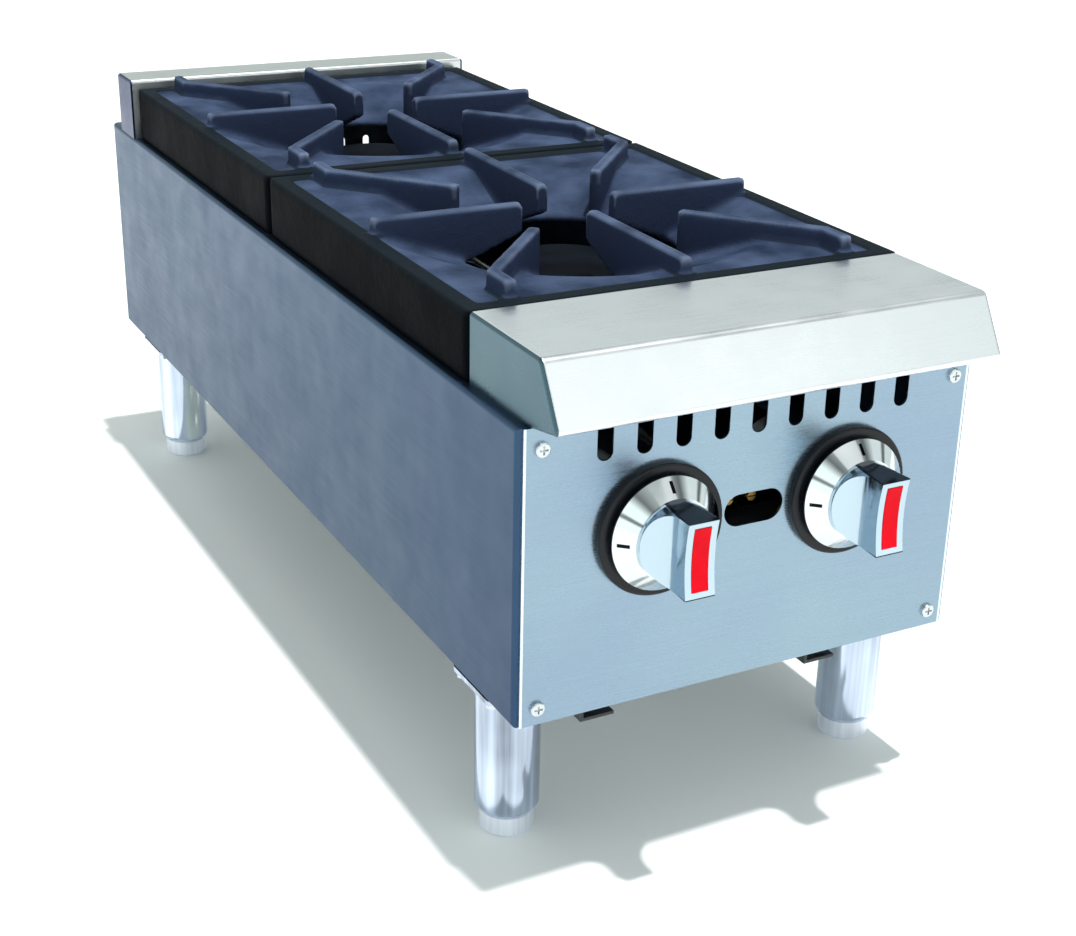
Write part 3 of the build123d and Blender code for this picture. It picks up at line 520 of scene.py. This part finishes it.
tree.links.new(brass_gloss.outputs["Result"], shader.inputs["Roughness"])
tree.links.new(brass_lines.outputs["Normal"], shader.inputs["Normal"])
for side in ("left", "right"):
    for piece in ("gas_valve", "orifice_hood", "valve_stem", "pilot_screw"):
        dress(f"{side}_{piece}", turned_brass)
for name in ("pilot_valve", "front_pilot_tip", "rear_pilot_tip"):
    dress(name, turned_brass)

# Pilot tubes: thin drawn aluminium tube, bent by hand to run from the pilot valve to each burner.
# The eye sees pale metal with lengthwise lines.
pilot_tube_metal = brushed_sheet("drawn_aluminium_tube", "#C5C8CB", "Y", 0.3, streak_length=20)
dress("front_pilot_tube", pilot_tube_metal)
dress("rear_pilot_tube", pilot_tube_metal)

# Burners, caps and grates: sand-cast grey iron under a thin matt black coat. The eye sees a dark
# skin with fine grit and shallow dimples. Upward faces are mottled and painted lighter and bluer as
# painted sky light, and upright faces darker as painted shade. The burners are a darker copy, painted
# shade where they sit under the grates. The grates' flat rims are a plain darker tone, their outer
# skirts are painted near black as painted shade, and the upper edges of the bars are painted
# lighter, partly wear from pans and partly a painted highlight.
rim_drop = 0.011
rim_depth = 0.0012
rim_tone = "#1B2228"
# The skirt's upright faces are painted near black: painted shade.
painted_skirt_shade_tone = "#07090D"
skirt_wall = 0.003
# The bars' upper edges are painted lighter: partly wear from pans, partly a painted highlight.
wear_and_highlight_tone = "#7F8BA4"
front_low, front_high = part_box("front_grate")
rear_low, rear_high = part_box("rear_grate")
rim_level = front_high.z - rim_drop
grates_middle = (front_low.y + rear_high.y) / 2
grate_offset = (rear_low.y + rear_high.y) / 2 - grates_middle
half_width = front_high.x - skirt_wall
half_length = (front_high.y - front_low.y) / 2 - skirt_wall


def darken_border(tree, grate_place, upwards, skin):
    """Lay a plain darker tone over a grate's colour on the flat rim, and painted shade on the outer
    skirt.

    Both grates are alike, so a place is first folded about the joint between them."""
    sideways = add_node(tree, "ShaderNodeMath", {0: grate_place.outputs["X"]}, operation="ABSOLUTE")
    on_side = add_node(
        tree, "ShaderNodeMath", {0: sideways.outputs[0], 1: half_width}, operation="GREATER_THAN"
    )
    from_joint = add_node(
        tree, "ShaderNodeMath", {0: grate_place.outputs["Y"], 1: grates_middle}, operation="SUBTRACT"
    )
    folded = add_node(tree, "ShaderNodeMath", {0: from_joint.outputs[0]}, operation="ABSOLUTE")
    from_middle = add_node(
        tree, "ShaderNodeMath", {0: folded.outputs[0], 1: grate_offset}, operation="SUBTRACT"
    )
    lengthways = add_node(tree, "ShaderNodeMath", {0: from_middle.outputs[0]}, operation="ABSOLUTE")
    on_end = add_node(
        tree, "ShaderNodeMath", {0: lengthways.outputs[0], 1: half_length}, operation="GREATER_THAN"
    )
    on_skirt = add_node(
        tree, "ShaderNodeMath", {0: on_side.outputs[0], 1: on_end.outputs[0]}, operation="MAXIMUM"
    )
    at_rim = add_node(
        tree,
        "ShaderNodeMath",
        {0: grate_place.outputs["Z"], 1: rim_level, 2: rim_depth},
        operation="COMPARE",
    )
    on_rim = add_node(
        tree, "ShaderNodeMath", {0: at_rim.outputs[0], 1: upwards}, operation="MULTIPLY"
    )
    with_rim = add_node(
        tree,
        "ShaderNodeMix",
        {"Factor": on_rim.outputs[0], 6: skin, 7: colour(rim_tone)},
        data_type="RGBA",
    )
    skirt_shade = add_node(
        tree,
        "ShaderNodeMix",
        {"Factor": upwards, 6: colour(painted_skirt_shade_tone), 7: colour(rim_tone)},
        data_type="RGBA",
    )
    with_skirt = add_node(
        tree,
        "ShaderNodeMix",
        {"Factor": on_skirt.outputs[0], 6: with_rim.outputs[2], 7: skirt_shade.outputs[2]},
        data_type="RGBA",
    )
    return with_skirt.outputs[2]


def wear_and_highlight_bars(tree, grate_place, coat, skin):
    """Paint the sharp edges above the rim lighter, partly wear from pans and partly a painted
    highlight; only a dense mesh can tell these edges.
    """
    sharpness = add_node(tree, "ShaderNodeNewGeometry").outputs["Pointiness"]
    edge = add_node(
        tree, "ShaderNodeMapRange", {"Value": sharpness, "From Min": 0.52, "From Max": 0.57}
    )
    on_bar = add_node(
        tree,
        "ShaderNodeMapRange",
        {
            "Value": grate_place.outputs["Z"],
            "From Min": rim_level,
            "From Max": rim_level + 2 * rim_depth,
        },
    )
    bar_edge = add_node(
        tree,
        "ShaderNodeMath",
        {0: edge.outputs["Result"], 1: on_bar.outputs["Result"]},
        operation="MULTIPLY",
    )
    wear_and_highlight = add_node(tree, "ShaderNodeMath", {0: bar_edge.outputs[0], 1: coat}, operation="MULTIPLY")
    worn_and_highlit = add_node(
        tree,
        "ShaderNodeMix",
        {"Factor": wear_and_highlight.outputs[0], 6: skin, 7: colour(wear_and_highlight_tone)},
        data_type="RGBA",
    )
    return worn_and_highlit.outputs[2]


def sand_cast_iron(name, shaded_side_tone, low_tone, high_tone, is_grate):
    """Cast iron finish with a darker tone for upright faces, as painted shade, and two that upper faces
    wander between, mostly lighter and bluer, as painted sky light.

    The grit is drawn coarser than moulding sand, so that it shows."""
    dimple_depth = 0.0006
    grit_depth = 0.0004
    finish, tree, shader, place = start_finish(name, Metallic=0.0, Specular_IOR_Level=0.012)
    grit = add_node(tree, "ShaderNodeTexNoise", {"Vector": place, "Scale": per_mm(1.4), "Detail": 4.0})
    dimples = add_node(tree, "ShaderNodeTexNoise", {"Vector": place, "Scale": per_mm(9), "Detail": 2.0})
    coat = add_node(tree, "ShaderNodeTexNoise", {"Vector": place, "Scale": per_mm(40), "Detail": 4.0})
    facing = add_node(tree, "ShaderNodeNewGeometry").outputs["Normal"]
    turned = add_node(tree, "ShaderNodeSeparateXYZ", {"Vector": facing})
    # Upward faces take the lighter, bluer tones and upright faces the darker one: painted sky light and
    # painted shade.
    upwards = add_node(
        tree, "ShaderNodeMapRange", {"Value": turned.outputs["Z"], "From Min": 0.0, "From Max": 0.95}
    )
    mottle = add_node(
        tree, "ShaderNodeMapRange", {"Value": coat.outputs["Fac"], "From Min": 0.33, "From Max": 0.67}
    )
    upper_shade = add_node(
        tree,
        "ShaderNodeMix",
        {"Factor": mottle.outputs["Result"], 6: colour(low_tone), 7: colour(high_tone)},
        data_type="RGBA",
    )
    iron_shade = add_node(
        tree,
        "ShaderNodeMix",
        {"Factor": upwards.outputs["Result"], 6: colour(shaded_side_tone), 7: upper_shade.outputs[2]},
        data_type="RGBA",
    )
    skin = iron_shade.outputs[2]
    if is_grate:
        grate_place = add_node(tree, "ShaderNodeSeparateXYZ", {"Vector": place})
        skin = darken_border(tree, grate_place, upwards.outputs["Result"], skin)
        skin = wear_and_highlight_bars(tree, grate_place, coat.outputs["Fac"], skin)
    iron_gloss = add_node(
        tree, "ShaderNodeMapRange", {"Value": coat.outputs["Fac"], "To Min": 0.42, "To Max": 0.68}
    )
    cast_dimples = add_node(
        tree,
        "ShaderNodeBump",
        {"Height": dimples.outputs["Fac"], "Strength": 0.6, "Distance": dimple_depth},
    )
    cast_grit = add_node(
        tree,
        "ShaderNodeBump",
        {
            "Height": grit.outputs["Fac"],
            "Strength": 0.7,
            "Distance": grit_depth,
            "Normal": cast_dimples.outputs["Normal"],
        },
    )
    tree.links.new(skin, shader.inputs["Base Color"])
    tree.links.new(iron_gloss.outputs["Result"], shader.inputs["Roughness"])
    tree.links.new(cast_grit.outputs["Normal"], shader.inputs["Normal"])
    return finish


# The burners are a much darker copy of the same iron: painted shade where they sit in the grates'
# openings.
shaded_burner_iron = sand_cast_iron("sand_cast_iron_burner", "#07090D", "#0B0E13", "#151A22", is_grate=False)
grate_iron = sand_cast_iron("sand_cast_iron_grate", "#2F3850", "#263045", "#4A5874", is_grate=True)
for row in ("front", "rear"):
    dress(f"{row}_burner_body", shaded_burner_iron)
    dress(f"{row}_burner_cap", shaded_burner_iron)

# Each grate is a copy of the CAD grate with its doubles merged, then built up again from small cubes
# and smoothed, so that every edge is rounded as a sand mould leaves it.
mould_grain = 0.002
merge_distance = 0.00001
for row in ("front", "rear"):
    bpy.ops.object.select_all(action="DESELECT")
    casting = bpy.data.objects.new(f"{row}_grate_casting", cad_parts[f"{row}_grate"].data.copy())
    bpy.context.scene.collection.objects.link(casting)
    bpy.context.view_layer.objects.active = casting
    casting.select_set(True)
    bpy.ops.object.mode_set(mode="EDIT")
    bpy.ops.mesh.select_all(action="SELECT")
    bpy.ops.mesh.remove_doubles(threshold=merge_distance)
    bpy.ops.object.mode_set(mode="OBJECT")
    mould = casting.modifiers.new("mould", "REMESH")
    mould.mode = "VOXEL"
    mould.voxel_size = mould_grain
    bpy.ops.object.modifier_apply(modifier="mould")
    worn = casting.modifiers.new("worn", "SMOOTH")
    worn.factor = 0.5
    worn.iterations = 3
    bpy.ops.object.modifier_apply(modifier="worn")
    bpy.ops.object.shade_smooth()
    casting.data.materials.clear()
    casting.data.materials.append(grate_iron)
    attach(casting, f"{row}_pan_grate")
    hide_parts(f"{row}_grate")


# Knobs: die-cast zinc on a black moulded bezel. The dial is chrome plated with two dark printed
# marks, the grip is satin chrome with its two ends painted dark as a painted reflection of shade,
# and a red moulded strip is set in the bar's hollow face.
mark_inner = 0.0270
mark_outer = 0.0325
mark_half_width = 0.0011
grip_end_shading_depth = 0.0006


def chrome_dial(side):
    """Chrome plate with a mark at the top and one a quarter turn round, printed in the dial's cone.

    The eye sees sharp bright reflections broken by dark streaks, and two small dark bars."""
    dial_low, dial_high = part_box(f"{side}_knob_dial")
    dial_middle = (dial_low + dial_high) / 2
    finish, tree, shader, place = start_finish(f"chrome_plated_dial_{side}", Metallic=1.0)
    centred = add_node(
        tree, "ShaderNodeMapping", {"Vector": place, "Location": (-dial_middle.x, 0, -dial_middle.z)}
    )
    dial_place = add_node(tree, "ShaderNodeSeparateXYZ", {"Vector": centred.outputs["Vector"]})
    marks = []
    for along, across, way in (("Z", "X", 1), ("X", "Z", -1)):
        mark_middle = way * (mark_inner + mark_outer) / 2
        from_mark = add_node(
            tree,
            "ShaderNodeMath",
            {0: dial_place.outputs[along], 1: mark_middle},
            operation="SUBTRACT",
        )
        reach = add_node(tree, "ShaderNodeMath", {0: from_mark.outputs[0]}, operation="ABSOLUTE")
        within_length = add_node(
            tree,
            "ShaderNodeMath",
            {0: reach.outputs[0], 1: (mark_outer - mark_inner) / 2},
            operation="LESS_THAN",
        )
        beside = add_node(
            tree, "ShaderNodeMath", {0: dial_place.outputs[across]}, operation="ABSOLUTE"
        )
        within_width = add_node(
            tree, "ShaderNodeMath", {0: beside.outputs[0], 1: mark_half_width}, operation="LESS_THAN"
        )
        mark = add_node(
            tree,
            "ShaderNodeMath",
            {0: within_length.outputs[0], 1: within_width.outputs[0]},
            operation="MULTIPLY",
        )
        marks.append(mark.outputs[0])
    printed = add_node(tree, "ShaderNodeMath", {0: marks[0], 1: marks[1]}, operation="MAXIMUM")
    haze = add_node(tree, "ShaderNodeTexNoise", {"Vector": place, "Scale": per_mm(14), "Detail": 3.0})
    plate_shade = add_node(
        tree,
        "ShaderNodeMix",
        {"Factor": haze.outputs["Fac"], 6: colour("#D3DADF"), 7: colour("#EEF1F2")},
        data_type="RGBA",
    )
    dial_shade = add_node(
        tree,
        "ShaderNodeMix",
        {"Factor": printed.outputs[0], 6: plate_shade.outputs[2], 7: colour("#14171C")},
        data_type="RGBA",
    )
    plate_gloss = add_node(
        tree, "ShaderNodeMapRange", {"Value": haze.outputs["Fac"], "To Min": 0.04, "To Max": 0.12}
    )
    tree.links.new(dial_shade.outputs[2], shader.inputs["Base Color"])
    tree.links.new(plate_gloss.outputs["Result"], shader.inputs["Roughness"])
    return finish


# The bezel is black nylon, moulded with a half-gloss skin that flows a little lighter in places.
bezel_black, tree, shader, place = start_finish("moulded_black_nylon", Specular_IOR_Level=0.3)
flow = add_node(tree, "ShaderNodeTexNoise", {"Vector": place, "Scale": per_mm(10), "Detail": 3.0})
bezel_shade = add_node(
    tree,
    "ShaderNodeMix",
    {"Factor": flow.outputs["Fac"], 6: colour("#05060A"), 7: colour("#0D0F18")},
    data_type="RGBA",
)
bezel_gloss = add_node(
    tree, "ShaderNodeMapRange", {"Value": flow.outputs["Fac"], "To Min": 0.2, "To Max": 0.4}
)
tree.links.new(bezel_shade.outputs[2], shader.inputs["Base Color"])
tree.links.new(bezel_gloss.outputs["Result"], shader.inputs["Roughness"])

# The strip is red acrylic, moulded dull, with its pigment slightly uneven.
strip_red, tree, shader, place = start_finish(
    "moulded_red_acrylic", Roughness=0.45, Specular_IOR_Level=0.08
)
pigment = add_node(tree, "ShaderNodeTexNoise", {"Vector": place, "Scale": per_mm(8), "Detail": 3.0})
strip_shade = add_node(
    tree,
    "ShaderNodeMix",
    {"Factor": pigment.outputs["Fac"], 6: colour("#D40018"), 7: colour("#F0041E")},
    data_type="RGBA",
)
tree.links.new(strip_shade.outputs[2], shader.inputs["Base Color"])

# The grip's two ends are painted dark: a painted reflection of shade.
satin_chrome = brushed_sheet(
    "satin_chrome_grip",
    "#BCCEDA",
    "Z",
    0.12,
    streak=0.4,
    streak_length=15,
    tint=0.03,
    end_shading=painted_end_shading("left_knob_grip", "#1C2530", "Z", grip_end_shading_depth),
)
for side in ("left", "right"):
    dress(f"{side}_knob_bezel", bezel_black)
    dress(f"{side}_knob_dial", chrome_dial(side))
    dress(f"{side}_knob_grip", satin_chrome)
    dress(f"{side}_knob_strip", strip_red)

# Legs and feet: bright-plated steel tube on a welded plate, with a turned foot on a threaded stud.
# The eye sees a bluish tube with strong lengthwise bands, faint drawing lines made strong as painted
# reflections, and a paler, plainer foot.
plated_tube = brushed_sheet(
    "plated_leg_tube", "#C8D3E6", "Z", 0.12, streak=9, streak_length=300, tint=0.6
)
turned_foot = brushed_sheet(
    "turned_plated_foot", "#EDF1FA", "Z", 0.5, streak=2, streak_length=60, tint=0.1
)
for corner in ("front_left", "front_right", "rear_left", "rear_right"):
    dress(f"{corner}_leg", plated_tube)
    dress(f"{corner}_foot", turned_foot)

# Panel screws: cross-recess pan heads in zinc-plated steel, one at each corner of the front and the
# rear panel. One is modelled in place and the others are copies; the leg bolts have the same zinc.
# The eye sees small bright domes, each with a dark cross.
zinc_plate = brushed_sheet("zinc_plated_screw", "#D5D9DC", "X", 0.25, streak=0.5, streak_length=4)
dress("leg_bolts", zinc_plate)
head_radius = 0.0045
head_height = 0.0024
head_dome = 0.0011
head_sides = 40
dome_steps = 5
shank_radius = 0.002
recess_length = 0.0052
recess_width = 0.0011
recess_depth = 0.0016
flat_enough = 0.9
rounded_below = math.radians(35)
screw_low, screw_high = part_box("front_panel_screws")
rear_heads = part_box("rear_panel_screws")[1].y
screw_half_span = screw_high.x - head_radius
low_row = screw_low.z + head_radius
high_row = screw_high.z - head_radius
panel_face = screw_low.y + head_height

bpy.ops.object.select_all(action="DESELECT")
bpy.ops.mesh.primitive_cylinder_add(
    vertices=head_sides,
    radius=head_radius,
    depth=head_height,
    location=(-screw_half_span, panel_face - head_height / 2, low_row),
    rotation=(math.pi / 2, 0, 0),
)
first_screw = bpy.context.object
bpy.ops.object.transform_apply(location=True, rotation=True, scale=True)
bpy.context.tool_settings.mesh_select_mode = (False, False, True)
bpy.ops.object.mode_set(mode="EDIT")
bpy.ops.mesh.select_all(action="DESELECT")
bpy.ops.object.mode_set(mode="OBJECT")
for face in first_screw.data.polygons:
    face.select = face.normal.y < -flat_enough
bpy.ops.object.mode_set(mode="EDIT")
bpy.ops.mesh.bevel(offset=head_dome, segments=dome_steps, affect="EDGES")
bpy.ops.mesh.select_all(action="DESELECT")
bpy.ops.object.mode_set(mode="OBJECT")
for face in first_screw.data.polygons:
    face.select = face.normal.y > flat_enough
bpy.ops.object.mode_set(mode="EDIT")
bpy.ops.mesh.inset(thickness=head_radius - shank_radius)
bpy.ops.mesh.extrude_region_move(
    TRANSFORM_OT_translate={"value": (0, screw_high.y - panel_face, 0)}
)
bpy.ops.object.mode_set(mode="OBJECT")
for arm_width, arm_height in ((recess_length, recess_width), (recess_width, recess_length)):
    bpy.ops.object.select_all(action="DESELECT")
    bpy.ops.mesh.primitive_cube_add(
        size=1,
        location=(-screw_half_span, panel_face - head_height, low_row),
        scale=(arm_width, 2 * recess_depth, arm_height),
    )
    cutter = bpy.context.object
    bpy.ops.object.select_all(action="DESELECT")
    first_screw.select_set(True)
    bpy.context.view_layer.objects.active = first_screw
    recess = first_screw.modifiers.new("recess", "BOOLEAN")
    recess.operation = "DIFFERENCE"
    recess.object = cutter
    bpy.ops.object.modifier_apply(modifier="recess")
    bpy.data.objects.remove(cutter)
bpy.ops.object.shade_smooth_by_angle(angle=rounded_below)
first_screw.data.materials.clear()
first_screw.data.materials.append(zinc_plate)

half_turn = Matrix.Rotation(math.pi, 4, "Z")
to_rear = Matrix.Translation((0, rear_heads - head_height + panel_face, 0)) @ half_turn
for panel, turn in (("front", Matrix.Identity(4)), ("rear", to_rear)):
    for shift in (0, 2 * screw_half_span):
        for rise in (0, high_row - low_row):
            if panel == "front" and not shift and not rise:
                head = first_screw
            else:
                head = bpy.data.objects.new("panel_screw", first_screw.data.copy())
                bpy.context.scene.collection.objects.link(head)
                head.data.transform(turn @ Matrix.Translation((shift, 0, rise)))
            head.name = f"{panel}_screw_{'right' if shift else 'left'}_{'top' if rise else 'low'}"
            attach(head, "chassis")
            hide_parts(f"{panel}_panel_screws")
